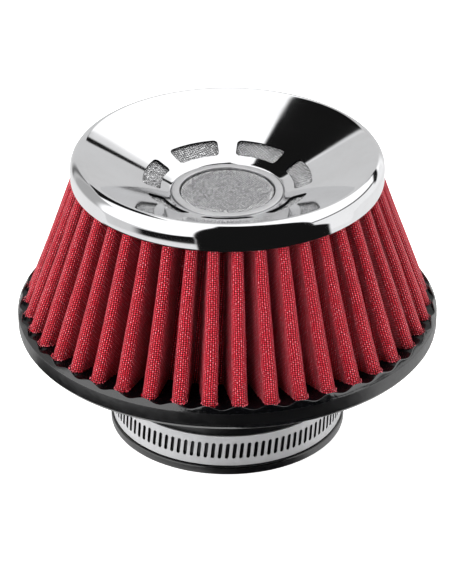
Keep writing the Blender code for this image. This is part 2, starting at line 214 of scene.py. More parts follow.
def pierced_cell(cell, hole, corner, columns, rows, rings, slant=0.0):
    """Points of one cell, ring by ring from its border to the edge of its hole."""
    border = []
    outline = []
    spans = ((cell[0], cell[1], hole[0], hole[1], columns), (cell[1], cell[0], hole[1], hole[0], rows))
    for side in range(4):
        wide, deep, hole_wide, hole_deep, count = spans[side % 2]
        edge = [(x, -deep / 2) for x in np.linspace(-wide / 2, wide / 2, count + 1)]
        rim = hole_side(hole_wide - 2 * corner, hole_deep, corner, count)
        turn = side * math.pi / 2
        c, s = round(math.cos(turn)), round(math.sin(turn))
        border += [(c * x - s * y, s * x + c * y) for x, y in edge[:-1]]
        outline += [(c * x - s * y, s * x + c * y) for x, y in rim[:-1]]
    border, outline = np.array(border), np.array(outline)
    outline[:, 0] += outline[:, 1] * math.tan(slant)
    steps = np.linspace(0, 1, rings + 1)[:, None, None]
    return border * (1 - steps) + outline * steps


def pierced_sheet(cell, width, count, place):
    """Cells side by side; place(x, y) gives each point in space."""
    verts = []
    faces = []
    rings, around = cell.shape[:2]
    for k in range(count):
        first = len(verts)
        for x, y in cell.reshape(-1, 2):
            verts.append(place(x + (k + 0.5) * width, y))
        for quad in grid_faces(rings, around):
            faces.append(tuple(first + i for i in quad))
    return verts, faces


# ================================================================ material helpers

class Nodes:
    """A material with one Principled shader and short calls to add nodes to it."""

    def __init__(self, name):
        self.mat = bpy.data.materials.new(name)
        self.mat.use_nodes = True
        self.tree = self.mat.node_tree
        self.shader = self.tree.nodes["Principled BSDF"]

    def set(self, **values):
        for key, value in values.items():
            socket = self.shader.inputs[key.replace("_", " ")]
            self.feed(socket, value)
        return self

    def feed(self, socket, value):
        if isinstance(value, bpy.types.NodeSocket):
            self.tree.links.new(value, socket)
        elif isinstance(value, tuple) and len(value) == 3 and socket.type == "RGBA":
            socket.default_value = (*value, 1.0)
        else:
            socket.default_value = value

    def node(self, kind, output=0, props=None, **inputs):
        """Adds a node; an input goes by its name, or by its number written i0, i1 and so on."""
        node = self.tree.nodes.new(kind)
        for key, value in (props or {}).items():
            setattr(node, key, value)
        for key, value in inputs.items():
            socket = int(key[1:]) if key[0] == "i" and key[1:].isdigit() else key.replace("_", " ")
            self.feed(node.inputs[socket], value)
        return node.outputs[output]

    def math(self, operation, a, b=0.0, clamp=False):
        return self.node("ShaderNodeMath", props={"operation": operation, "use_clamp": clamp}, i0=a, i1=b)

    def coords(self, name="Object"):
        return self.node("ShaderNodeTexCoord", output=name)

    def split(self, vector):
        parts = self.tree.nodes.new("ShaderNodeSeparateXYZ")
        self.tree.links.new(vector, parts.inputs[0])
        return parts.outputs[0], parts.outputs[1], parts.outputs[2]

    def radius(self, where):
        """Distance from the Z axis."""
        x, y, _ = self.split(where)
        return self.math("SQRT", self.math("ADD", self.math("MULTIPLY", x, x), self.math("MULTIPLY", y, y)))

    def outward(self, where, radius):
        """How far the surface faces away from the Z axis, 1 at most."""
        x, y, _ = self.split(where)
        nx, ny, _ = self.split(self.coords("Normal"))
        along = self.math("ADD", self.math("MULTIPLY", x, nx), self.math("MULTIPLY", y, ny))
        return self.math("DIVIDE", along, radius)

    def join(self, x, y, z):
        return self.node("ShaderNodeCombineXYZ", i0=x, i1=y, i2=z)

    def noise(self, vector, scale, detail=3.0, rough=0.5, output="Fac"):
        return self.node("ShaderNodeTexNoise", output=output, Vector=vector, Scale=scale, Detail=detail,
                         Roughness=rough)

    def remap(self, value, low, high, to_low, to_high):
        return self.node("ShaderNodeMapRange", i0=value, i1=low, i2=high, i3=to_low, i4=to_high)

    def ramp(self, value, stops):
        node = self.tree.nodes.new("ShaderNodeValToRGB")
        self.tree.links.new(value, node.inputs[0])
        while len(node.color_ramp.elements) < len(stops):
            node.color_ramp.elements.new(0.5)
        for element, (position, colour) in zip(node.color_ramp.elements, stops):
            element.position = position
            element.color = (*colour, 1.0)
        return node.outputs[0]

    def mix(self, factor, a, b):
        node = self.tree.nodes.new("ShaderNodeMix")
        node.data_type = "RGBA"
        self.feed(node.inputs[0], factor)
        self.feed(node.inputs[6], a)
        self.feed(node.inputs[7], b)
        return node.outputs[2]

    def bump(self, height, strength, distance, under=None):
        inputs = {"Height": height, "Strength": strength, "Distance": distance}
        if under is not None:
            inputs["Normal"] = under
        return self.node("ShaderNodeBump", **inputs)


def wave(n, value, period=1.0):
    """0 to 1 cosine wave, 1 where value is a whole number of periods."""
    turned = n.math("COSINE", n.math("MULTIPLY", value, TAU / period))
    return n.math("ADD", n.math("MULTIPLY", turned, 0.5), 0.5)


def threads(n, u, v):
    """Heights of the warp and the weft of a plain weave; u and v count threads."""
    cross = n.math("MULTIPLY", n.math("COSINE", n.math("MULTIPLY", u, math.pi)),
                   n.math("COSINE", n.math("MULTIPLY", v, math.pi)))
    over = n.math("ADD", n.math("MULTIPLY", cross, 0.45), 0.55)
    under = n.math("ADD", n.math("MULTIPLY", cross, -0.45), 0.55)
    return n.math("MULTIPLY", wave(n, u), over), n.math("MULTIPLY", wave(n, v), under)


def weave(n, u, v):
    """Height of a plain weave, 0 in its holes and 1 on its crests."""
    return n.math("MAXIMUM", *threads(n, u, v))


# ================================================================ materials

def chrome_material():
    n = Nodes("mirror_chrome")
    where = n.coords()
    smudge = n.noise(where, 60.0, 4.0, 0.6)
    specks = n.noise(where, 2600.0, 2.0, 0.5)
    rough = n.math("ADD", n.remap(smudge, 0.3, 0.75, 0.03, 0.085), n.remap(specks, 0.62, 0.8, 0.0, 0.05))
    tint = n.mix(n.remap(smudge, 0.3, 0.7, 0.0, 1.0), (0.86, 0.865, 0.88), (0.8, 0.8, 0.81))
    # The slots' cut walls get painted shade, near black and fully rough: they face away from the cone's own
    # normal
    wall_facing = 0.55
    radius = n.radius(where)
    nz = n.split(n.coords("Normal"))[2]
    facing = n.math("SUBTRACT", n.math("MULTIPLY", nz, math.cos(CAP_SLOPE)),
                    n.math("MULTIPLY", n.outward(where, radius), math.sin(CAP_SLOPE)))
    cut = n.math("LESS_THAN", n.math("ABSOLUTE", facing), wall_facing)
    cut = n.math("MULTIPLY", cut, n.math("LESS_THAN", radius, (SLOT_MIDDLE + SLOT_DEPTH) * MM))
    # painted shade: near-black colour on the slots' cut walls
    n.set(Base_Color=n.mix(cut, tint, (0.03, 0.03, 0.032)), Metallic=1.0)
    n.set(Roughness=n.math("ADD", rough, cut, True), Normal=n.bump(n.noise(where, 90.0, 3.0), 0.02, 0.0004))
    return n.mat


def satin_ring_material():
    """Turned aluminium, with its fine grooves running round the axis."""
    n = Nodes("satin_aluminium")
    radius = n.radius(n.coords())
    z = n.split(n.coords())[2]
    grooves = n.noise(n.join(n.math("MULTIPLY", radius, 9000.0), n.math("MULTIPLY", z, 4000.0), 0.0), 1.0, 2.0)
    stain = n.noise(n.coords(), 300.0, 3.0)
    n.set(Base_Color=n.mix(stain, (0.74, 0.74, 0.75), (0.62, 0.62, 0.63)), Metallic=1.0)
    n.set(Roughness=n.remap(grooves, 0.3, 0.7, 0.28, 0.42), Normal=n.bump(grooves, 0.12, 0.00005))
    return n.mat


def wire_gauze_material(name, pitch, dark, light, turn=0.6):
    """Fine woven wire laid flat: threads along two directions of the plan."""
    n = Nodes(name)
    x, y, _ = n.split(n.coords())
    c, s = math.cos(turn) / (pitch * MM), math.sin(turn) / (pitch * MM)
    u = n.math("ADD", n.math("MULTIPLY", x, c), n.math("MULTIPLY", y, s))
    v = n.math("SUBTRACT", n.math("MULTIPLY", y, c), n.math("MULTIPLY", x, s))
    drift = n.noise(n.coords(), 120.0, 2.0)
    u = n.math("ADD", u, n.remap(drift, 0.0, 1.0, -0.8, 0.8))
    height = weave(n, u, v)
    grain = n.noise(n.coords(), 1400.0, 2.0, 0.7)
    glint = n.noise(n.coords(), 2000.0, 0.0)
    height = n.math("MULTIPLY", height, n.remap(glint, 0.35, 0.65, 0.42, 1.3))
    # painted shade: the weave's holes take the dark colour, the crests the light one; the glint noise paints
    # random glints
    tone = n.ramp(n.math("MULTIPLY", height, n.remap(grain, 0.25, 0.75, 0.4, 1.4)),
                  [(0.0, dark), (0.25, dark), (0.80, light), (1.0, light)])
    n.set(Base_Color=tone, Metallic=0.42, Roughness=n.remap(grain, 0.3, 0.7, 0.3, 0.5))
    n.set(Normal=n.bump(height, 0.9, pitch * 0.25 * MM))
    return n.mat


def red_gauze_material():
    """Oiled red gauze; its UV map counts threads across and along the pleats."""
    n = Nodes("red_woven_gauze")
    u, v, _ = n.split(n.coords("UV"))
    where = n.coords()
    u = n.math("ADD", u, n.remap(n.noise(where, 160.0, 2.0), 0.0, 1.0, -0.5, 0.5))
    v = n.math("ADD", v, n.remap(n.noise(where, 210.0, 2.0), 0.0, 1.0, -0.6, 0.6))
    warp, weft = threads(n, u, v)
    height = n.math("MAXIMUM", warp, weft)
    fibre = n.noise(where, 2400.0, 3.0, 0.7)
    crest_highlight_noise = n.noise(where, 900.0, 3.0, 0.7)
    # painted shade: the weave's holes are near black, rising to the thread red on the crests
    body = n.ramp(n.math("MULTIPLY", height, n.remap(fibre, 0.25, 0.75, 0.7, 1.2)), [
        (0.0, (0.006, 0.0, 0.0005)), (0.38, (0.06, 0.0002, 0.002)), (0.62, (0.50, 0.003, 0.016)),
        (0.95, (0.86, 0.012, 0.040))])
    # painted highlight: pink on the warp crests, varied by noise
    crest = n.remap(n.math("MULTIPLY", warp, n.remap(crest_highlight_noise, 0.3, 0.7, 0.55, 1.3)), 0.66, 1.0, 0.0, 0.9)
    n.set(Base_Color=n.mix(crest, body, (1.0, 0.30, 0.35)), Roughness=n.remap(fibre, 0.3, 0.7, 0.35, 0.55))
    n.set(Specular_IOR_Level=0.2, Normal=n.bump(height, 1.0, 0.0003, n.bump(fibre, 0.3, 0.00005)))
    n.set(Sheen_Weight=0.10, Sheen_Roughness=0.45, Sheen_Tint=(1.0, 0.50, 0.58))
    return n.mat


def cotton_material():
    n = Nodes("red_cotton_media")
    u, v, _ = n.split(n.coords("UV"))
    height = weave(n, n.math("MULTIPLY", u, 0.6), n.math("MULTIPLY", v, 0.6))
    fluff = n.noise(n.coords(), 900.0, 5.0, 0.7)
    n.set(Base_Color=n.mix(fluff, (0.42, 0.02, 0.05), (0.62, 0.10, 0.14)), Roughness=0.9)
    n.set(Sheen_Weight=0.4, Normal=n.bump(n.math("ADD", height, fluff), 0.6, 0.0002))
    return n.mat


def rubber_material():
    n = Nodes("moulded_black_rubber")
    where = n.coords()
    cloud = n.noise(where, 70.0, 4.0, 0.6)
    grain = n.noise(where, 2200.0, 2.0, 0.5)
    dust = n.noise(where, 420.0, 4.0, 0.75)
    tone = n.mix(n.remap(dust, 0.52, 0.72, 0.0, 0.6), (0.0020, 0.0020, 0.0026), (0.009, 0.009, 0.010))
    steep = n.math("ABSOLUTE", n.split(n.coords("Normal"))[2])
    gloss = n.math("ADD", n.remap(steep, 0.15, 0.5, 0.32, 0.10), n.remap(dust, 0.35, 0.65, -0.04, 0.08))
    n.set(Base_Color=tone, Roughness=gloss, Specular_IOR_Level=0.9, IOR=1.65)
    n.set(Normal=n.bump(grain, 0.2, 0.00006, n.bump(cloud, 0.45, 0.0006)))
    return n.mat


def resin_material():
    n = Nodes("poured_black_resin")
    where = n.coords()
    swirl = n.noise(where, 220.0, 3.0, 0.5)
    n.set(Base_Color=n.mix(swirl, (0.0012, 0.0012, 0.0018), (0.004, 0.004, 0.005)), Specular_IOR_Level=0.2)
    n.set(Roughness=n.remap(swirl, 0.3, 0.7, 0.10, 0.2), Normal=n.bump(swirl, 0.25, 0.0004))
    return n.mat


def clamp_material():
    n = Nodes("brushed_stainless")
    where = n.coords()
    x, y, z = n.split(where)
    turn = n.math("ARCTAN2", y, x)
    lines = n.noise(n.join(n.math("MULTIPLY", turn, 12.0), n.math("MULTIPLY", z, 16000.0), 0.0), 1.0, 3.0, 0.6)
    stain = n.noise(where, 260.0, 3.0, 0.6)
    # The band's slot walls get painted shade, near black: they face sideways, near the band's middle
    wall_facing = 0.5
    slot_reach = BAND_SLOT[1] / 2 + 0.25
    band_reach = TAIL_RADIUS + 0.1
    radius = n.radius(where)
    height = n.math("ABSOLUTE", n.math("SUBTRACT", z, BAND_MIDDLE * MM))
    painted_slot_shade = n.math("LESS_THAN", n.math("ABSOLUTE", n.outward(where, radius)), wall_facing)
    painted_slot_shade = n.math("MULTIPLY", painted_slot_shade, n.math("LESS_THAN", radius, band_reach * MM))
    painted_slot_shade = n.math("MULTIPLY", painted_slot_shade, n.math("LESS_THAN", height, slot_reach * MM))
    steel = n.mix(stain, (0.50, 0.50, 0.51), (0.40, 0.40, 0.405))
    # painted shade: near-black colour on the band's slot walls
    n.set(Base_Color=n.mix(painted_slot_shade, steel, (0.02, 0.02, 0.022)), Metallic=0.4)
    n.set(Roughness=n.remap(lines, 0.3, 0.7, 0.38, 0.52), Normal=n.bump(lines, 0.15, 0.00004))
    return n.mat


def zinc_material():
    n = Nodes("zinc_plated_steel")
    where = n.coords()
    spangle = n.node("ShaderNodeTexVoronoi", output="Color", Vector=where, Scale=700.0)
    stain = n.remap(n.noise(where, 500.0, 3.0), 0.3, 0.7, 0.0, 1.0)
    tone = n.mix(stain, (0.50, 0.51, 0.52), (0.36, 0.37, 0.38))
    n.set(Base_Color=tone, Metallic=1.0, Normal=n.bump(spangle, 0.12, 0.00005))
    n.set(Roughness=n.remap(n.noise(where, 900.0), 0.3, 0.7, 0.32, 0.52))
    return n.mat


def screen_material():
    """Inner wire screen: grey wires over red cotton, counted by the UV map."""
    n = Nodes("inner_wire_screen")
    u, v, _ = n.split(n.coords("UV"))
    height = weave(n, n.math("MULTIPLY", u, 0.5), n.math("MULTIPLY", v, 0.5))
    wires = n.remap(height, 0.35, 0.5, 0.0, 1.0)
    n.set(Base_Color=n.mix(wires, (0.34, 0.02, 0.045), (0.55, 0.56, 0.57)), Metallic=wires)
    n.set(Roughness=n.remap(height, 0.2, 0.8, 0.8, 0.35), Normal=n.bump(height, 0.9, 0.0003))
    return n.mat


def finish(obj, body, mat, slot, *nodes):
    """Give the piece its material, hang it from its body's empty and hide the imported parts it replaces."""
    obj.data.materials.clear()
    obj.data.materials.append(mat)
    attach(obj, body)
    if nodes:
        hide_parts(*nodes)
    return obj


# ================================================================ pleated pack

RIDGE_RADIUS = (72.9, 54.1)
VALLEY_RADIUS = (57.9, 41.4)
RIDGE_CURVE = (2.75, 2.05)
VALLEY_CURVE = (1.15, 0.8)
RIDGE_STEPS = 13
PLEAT_LEAN = math.radians(1.6)
WARP_PITCH = 0.82
WEFT_PITCH = 0.72


def bend(centre, ahead, across, radius, reach, count):
    """Points on an arc round a centre, from -reach to reach degrees off the direction ahead."""
    turns = np.linspace(-1, 1, count) * math.radians(reach)
    return [centre + ahead * (radius * math.cos(a)) + across * (radius * math.sin(a)) for a in turns]


def between(start, end):
    """The inner points of a straight flank."""
    return [start.lerp(end, s) for s in np.linspace(0, 1, 7)[1:-1]]


def pleat_outline(t, inset, waves):
    """Points round the pack at a height t (0 bottom, 1 top), and each point's distance from its ridge."""
    def at(pair):
        return pair[0] + (pair[1] - pair[0]) * t

    ridge_curve = at(RIDGE_CURVE) - inset
    valley_curve = at(VALLEY_CURVE) + inset
    pitch = TAU / PLEATS
    points = []
    spans = []
    for k in range(PLEATS):
        wobble, swell = waves(k, t)
        ridge = PLEAT_TURN + (k + 0.5) * pitch + wobble
        out = Vector((math.cos(ridge), math.sin(ridge)))
        side = Vector((-out.y, out.x))
        centre = out * (at(RIDGE_RADIUS) + swell - at(RIDGE_CURVE))
        left = bend(centre, out, side, ridge_curve, 97, RIDGE_STEPS)
        valley = PLEAT_TURN + (k + 1) * pitch - PLEAT_LEAN
        deep = Vector((math.cos(valley), math.sin(valley)))
        across = Vector((-deep.y, deep.x))
        hollow = deep * (at(VALLEY_RADIUS) + at(VALLEY_CURVE))
        points.append((left, bend(hollow, -deep, across, valley_curve, 88, 9)))
    flat = []
    for k, (left, right) in enumerate(points):
        after = points[(k + 1) % PLEATS][0][0]
        flat += left + between(left[-1], right[0]) + right + between(right[-1], after)
    per = len(flat) // PLEATS
    array = np.array([(p.x, p.y) for p in flat])
    steps = np.linalg.norm(np.roll(array, -1, 0) - array, axis=1)
    for k in range(PLEATS):
        along = np.concatenate([[0.0], np.cumsum(steps[k * per:(k + 1) * per - 1])])
        spans.append(along - along[RIDGE_STEPS // 2])
    return array, np.concatenate(spans)


def pleat_waves(rng, amount):
    """Small differences between pleats, smooth along each one."""
    shifts = [rng.uniform(-1, 1) for _ in range(PLEATS)]
    phases = [rng.uniform(0, TAU) for _ in range(PLEATS)]
    swells = [rng.uniform(-1, 1) for _ in range(PLEATS)]

    def waves(k, t):
        curl = math.sin(t * 4.0 + phases[k]) * 0.35
        turn = math.radians(0.28) * (shifts[k] * (0.4 + 0.6 * t) + curl) * amount
        return turn, amount * (0.16 * swells[k] * t + 0.12 * math.sin(t * 6.5 + phases[k]))
    return waves


def pleated_piece(name, inset, thickness, rows, low, high, waves):
    """One layer of the pack; its UV map counts threads from each ridge and along the slant."""
    rings = []
    spans = []
    for t in np.linspace(0, 1, rows):
        flat, span = pleat_outline(t, inset, waves)
        z = low + (high - low) * t
        rings.append(np.column_stack([flat, np.full(len(flat), z)]))
        spans.append(span)
    columns = len(rings[0])
    obj = new_object(name, np.concatenate(rings), [f[::-1] for f in grid_faces(rows, columns)])
    slant = math.hypot(high - low, RIDGE_RADIUS[0] - RIDGE_RADIUS[1])
    across = np.concatenate(spans) / WARP_PITCH
    along = np.repeat(np.linspace(0, slant, rows), columns) / WEFT_PITCH
    layer = obj.data.uv_layers.new(name="threads")
    index = np.zeros(len(obj.data.loops), int)
    obj.data.loops.foreach_get("vertex_index", index)
    layer.data.foreach_set("uv", np.column_stack([across[index], along[index]]).ravel())
    thicken(obj, thickness)
    obj.data.shade_smooth()
    obj.data.set_sharp_from_angle(angle=math.radians(50))
    return obj


def outline_length(t):
    flat, _ = pleat_outline(t, 0.0, lambda k, t: (0.0, 0.0))
    return float(np.linalg.norm(np.roll(flat, -1, 0) - flat, axis=1).sum()) * MM


def frayed_edge(waves):
    """Cut thread ends that stand out along the lower edge of the gauze, each a thin pyramid."""
    rng = random.Random(7)
    flat, _ = pleat_outline(0.0, -0.05, waves)
    per = len(flat) // PLEATS
    verts = []
    faces = []
    for k in range(PLEATS):
        for i in range(RIDGE_STEPS):
            for _ in range(2):
                p = flat[k * per + i] * (1 - rng.random() * 0.001)
                q = flat[k * per + (i + 1) % per]
                p = p + (q - p) * rng.random()
                out = p / np.linalg.norm(p)
                side = np.array([-out[1], out[0], 0])
                base = np.array([p[0], p[1], POTTING_LEVEL + rng.uniform(0.5, 1.3)])
                tip = base + np.array([out[0], out[1], 0]) * rng.uniform(0.15, 0.5)
                tip += side * rng.uniform(-0.3, 0.3)
                tip[2] -= rng.uniform(0.2, 0.8)
                first = len(verts)
                for a in range(3):
                    turn = a * TAU / 3
                    spread = side * math.cos(turn) + np.array([0, 0, 1]) * math.sin(turn)
                    verts.append(base + spread * 0.11)
                verts.append(tip)
                faces += [(first, first + 1, first + 3), (first + 1, first + 2, first + 3)]
                faces += [(first + 2, first, first + 3), (first + 2, first + 1, first)]
    obj = new_object("gauze_cut_threads", np.array(verts), faces)
    return finish_mesh(obj, sharp=80, weld=0.00001)


# ================================================================ base

def pleat_phase(angle):
    """0 at a ridge's foot, 1 in the middle of a valley."""
    pitch = TAU / PLEATS
    ridge = (angle - PLEAT_TURN) / pitch - 0.5
    return 0.5 - 0.5 * math.cos(TAU * (ridge + 0.10))


def ring_lip(angle):
    """Radius and height of the ring's scalloped inner lip."""
    valley = pleat_phase(angle)
    return 73.41 + 0.81 * valley, 47.43 - 1.04 * valley


def base_moulding():
    """Neck, flange and ring: the ring's top strip is scalloped round the foot of each pleat."""
    lower = rounded([
        (75.0, 44.8, 0.3), (75.0, 41.0, 0.2), (74.85, 40.8, 0.1), (74.85, 40.2, 0.5), (73.9, BASE_BOTTOM, 0.7),
        (SEAT + 0.1, BASE_BOTTOM, 3.8), (SEAT, 3.0, 0.1), (BEAD, 2.9, 0.5), (BEAD, 0.0, 0.25),
        (BORE, 0.0, 0.7), (BORE, FLOOR_TOP, 3.2), (53.0, FLOOR_TOP, 0.6), (53.2, 46.2, 0.5),
        (55.0, 46.2, 0.5), (55.2, 42.0, 0.2)], closed=False, steps=4)[1:]
    columns = PLEATS * 16
    rings = []
    for c in range(columns):
        angle = TAU * c / columns
        inner, top = ring_lip(angle)
        outer, edge = 74.72, 45.75
        strip = [(inner - 0.5, top - 2.2), (inner - 0.2, top - 0.2), (inner - 0.06, top), (inner, top - 0.02)]
        for s in (0.12, 0.3, 0.5, 0.7, 0.88, 1.0):
            bulge = 0.06 * math.sin(math.pi * s)
            strip.append((inner + (outer - inner) * s + bulge * 0.75, top + (edge - top) * s + bulge * 0.65))
        strip += [(74.86, 45.6), (74.95, 45.42), (74.99, 45.2)]
        profile = strip + lower + [(inner - 0.5, 42.0)]
        rings.append([(r * math.cos(angle), r * math.sin(angle), z) for r, z in profile])
    points = np.array(rings).transpose(1, 0, 2)
    obj = new_object("rubber_base", points.reshape(-1, 3), grid_faces(len(points), columns, wrap_rows=True))
    return finish_mesh(obj, sharp=40, weld=0.0005)


def base_potting(waves):
    """Resin pool between the pleats, creeping up the gauze and the ring's inner edge."""
    outline, _ = pleat_outline(0.0, 0.0, waves)
    columns = PLEATS * 20
    chunk = 120
    inner = 55.5
    angles = np.linspace(0, TAU, columns, endpoint=False)
    edge = np.array([ring_lip(a)[0] - 0.15 for a in angles])
    reach = np.concatenate([np.linspace(0, 0.13, 5), np.linspace(0.16, 1, 36)])
    rows = []
    for share in reach:
        r = inner + (edge - inner) * share
        xy = np.column_stack([r * np.cos(angles), r * np.sin(angles)])
        gap = np.empty(columns)
        for start in range(0, columns, chunk):
            block = xy[start:start + chunk]
            gap[start:start + chunk] = np.sqrt(((block[:, None, :] - outline[None]) ** 2).sum(2)).min(1)
        creep = 0.75 * np.exp(-gap / 0.55) * np.clip((edge - r) / 0.6, 0, 1)
        rows.append(np.column_stack([xy, POTTING_LEVEL + creep]))
    bottom = []
    for r in (edge, np.full(columns, inner)):
        bottom.append(np.column_stack([r * np.cos(angles), r * np.sin(angles), np.full(columns, 43.5)]))
    points = np.array(rows + bottom)
    obj = new_object("resin_pool", points.reshape(-1, 3), grid_faces(len(points), columns, wrap_rows=True))
    return finish_mesh(obj, sharp=60, weld=0.0005)


# ================================================================ cap

def crest_centre():
    """Middle of the crest's small circle, which runs over into the rim's larger curve."""
    return Vector((CAP_RADIUS - RIM_CURVE + (RIM_CURVE - CREST) * math.sin(CREST_TURN), CAP_TOP - CREST))


def cap_height(radius):
    """Height of the cap's upper surface on its straight conical wall."""
    edge = crest_centre() + Vector((-math.sin(CAP_SLOPE), math.cos(CAP_SLOPE))) * CREST
    return edge.y - (edge.x - radius) * math.tan(CAP_SLOPE)


def cap_shell():
    """Slotted cone, rolled rim and outer band in one pressed sheet."""
    width = TAU * SLOT_MIDDLE / CAP_SLOTS
    half = 5.4
    across = 44
    cell = pierced_cell((width, 2 * half), (SLOT_WIDTH * SLOT_MIDDLE, SLOT_DEPTH), 1.5, across, 14, 5)

    def on_cone(x, y):
        radius = SLOT_MIDDLE + y
        angle = math.pi / 2 + x / SLOT_MIDDLE
        return (radius * math.cos(angle), radius * math.sin(angle), cap_height(radius))

    verts, faces = pierced_sheet(cell, width, CAP_SLOTS, on_cone)
    columns = across * CAP_SLOTS
    angles = math.pi / 2 + np.linspace(0, TAU, columns, endpoint=False)
    inner = SLOT_MIDDLE - half
    outer = SLOT_MIDDLE + half
    foot = [(CAP_FOOT - 0.25, cap_height(CAP_FOOT) - 1.0), (CAP_FOOT - 0.22, cap_height(CAP_FOOT) - 0.4),
            (CAP_FOOT - 0.05, cap_height(CAP_FOOT) - 0.08), (CAP_FOOT + 0.25, cap_height(CAP_FOOT + 0.25)),
            (inner, cap_height(inner))]
    turn = 90 - math.degrees(CREST_TURN)
    crest = crest_centre()
    fall = crest - Vector((math.sin(CREST_TURN), math.cos(CREST_TURN))) * (RIM_CURVE - CREST)
    edge = crest.x - CREST * math.sin(CAP_SLOPE)
    upper = [(r, cap_height(r)) for r in np.linspace(outer, edge, 14)][:-1]
    upper += arc(crest, CREST, 90 + math.degrees(CAP_SLOPE), turn, 14)[:-1]
    upper += arc(fall, RIM_CURVE, turn, 0, 20)
    for z in np.linspace(fall.y - 0.5, CAP_BOTTOM + 0.3, 9):
        tuck = max(0.0, 1 - (z - CAP_BOTTOM) / 3.4)
        upper.append((CAP_RADIUS - 0.15 * tuck ** 2, z))
    upper += [(CAP_RADIUS - 0.20, CAP_BOTTOM + 0.1), (CAP_RADIUS - 0.30, CAP_BOTTOM)]
    for profile in (foot, upper):
        first = len(verts)
        for r, z in profile:
            verts += [(r * math.cos(a), r * math.sin(a), z) for a in angles]
        faces += [tuple(first + i for i in f) for f in grid_faces(len(profile), columns)]
    obj = new_object("chrome_cap", verts, faces)
    finish_mesh(obj, sharp=35, weld=0.004)
    top = max(obj.data.polygons, key=lambda p: p.center.z)
    if top.normal.z < 0:
        obj.data.flip_normals()
    thicken(obj, CAP_SHEET)
    return finish_mesh(obj, sharp=35, weld=0.0005, recalc=False)


def collar():
    """Turned ring that pins the gauze in the cap's centre hole."""
    top = cap_height(CAP_FOOT)
    face = CAP_FOOT - 0.45
    profile = rounded([(16.9, top + 0.15, 0.22), (face, top + 0.15, 0.3), (face, top - 0.9, 0.1),
                       (face + 1.2, top - 0.9, 0.1), (face + 1.2, top - 1.4, 0.1), (16.9, top - 1.4, 0.1)])
    return finish_mesh(lathe("centre_collar", profile, 192), sharp=50)


def dished(name, drop, thickness):
    """A disc under the cap: domed in the centre hole, pinched by the collar, then along the cone."""
    flat = cap_height(CAP_FOOT) - 1.4 - 0.3 - drop
    cone = CAP_SHEET / math.cos(CAP_SLOPE) + 0.3 + drop
    bend = 23.3
    edge = 38.0
    lift = 1.2
    top = [(0.0, flat + lift)] + [(r, flat + lift) for r in np.linspace(2, 15.8, 8)]
    top += [(16.3, flat + lift - 0.1), (16.6, flat + 0.3), (16.75, flat), (18.6, flat)]
    top += rounded([(20.6, flat, 0), (21.4, flat, 1.0), (bend, cap_height(bend) - cone, 1.5),
                    (edge, cap_height(edge) - cone, 0)], closed=False)[1:]
    profile = top + [(r, z - thickness) for r, z in reversed(top)]
    return finish_mesh(lathe(name, profile, 160, closed=False), sharp=50, weld=0.002)


def cap_resin():
    """Resin ring inside the cap that holds the upper ends of the pleats."""
    under = CAP_SHEET / math.cos(CAP_SLOPE) + 0.1
    profile = rounded([(38.4, cap_height(38.4) - under, 0.3), (49.6, cap_height(49.6) - under, 0.5),
                       (52.9, 104.3, 0.5), (54.3, 102.0, 0.5), (54.3, 97.2, 0.3), (52.0, 97.6, 1.5),
                       (41.0, 97.6, 1.5), (38.4, 97.2, 0.3)])
    return finish_mesh(lathe("cap_resin", profile, 192), sharp=50)


# ================================================================ inner cage

def expanded_cage():
    """Diamond mesh on a cone, each strand a flat bar."""
    columns, rows = 56, 12
    low, high = 46.4, 97.2
    radii = (55.5, 39.0)
    verts = []
    index = {}

    def at(c, r):
        key = (c % (2 * columns), r)
        if key not in index:
            t = r / (2 * rows)
            radius = radii[0] + (radii[1] - radii[0]) * t
            a = TAU * key[0] / (2 * columns)
            index[key] = len(verts)
            verts.append((radius * math.cos(a), radius * math.sin(a), low + (high - low) * t))
        return index[key]

    faces = []
    for r in range(1, 2 * rows):
        for c in range(r % 2, 2 * columns, 2):
            faces.append((at(c - 1, r), at(c, r - 1), at(c + 1, r), at(c, r + 1)))
    obj = new_object("expanded_cage", verts, faces)
    wire = obj.modifiers.new("strands", "WIREFRAME")
    wire.thickness = 0.75 * MM
    wire.use_even_offset = True
    wire.use_boundary = True
    apply_modifiers(obj)
    return finish_mesh(obj, sharp=30, weld=0.0001)


def seam():
    """Crimped strip along the ridge at the back, where the two ends of the pack meet."""
    angle = PLEAT_TURN + math.pi / PLEATS * (PLEATS + 1)
    low, high = 46.3, 97.3
    foot, head = 56.9, 40.4
    profile = ((-0.28, 0.0), (-0.28, 5.6), (0.28, 5.6), (0.28, 0.0))
    rows = 12
    verts = []
    for t in np.linspace(0, 1, rows):
        radius = foot + (head - foot) * t
        crimp = 0.06 * math.sin(t * 60)
        for side, out in profile:
            across = side + (crimp if out > 0 else 0)
            x = (radius + out) * math.cos(angle) - across * math.sin(angle)
            y = (radius + out) * math.sin(angle) + across * math.cos(angle)
            verts.append((x, y, low + (high - low) * t))
    sides = len(profile)
    last = (rows - 1) * sides
    faces = grid_faces(rows, sides) + [tuple(range(sides)), tuple(range(last, last + sides))]
    obj = finish_mesh(new_object("seam_clip", verts, faces), sharp=40)
    return bevel(obj, 0.1, 2)


# ================================================================ clamp

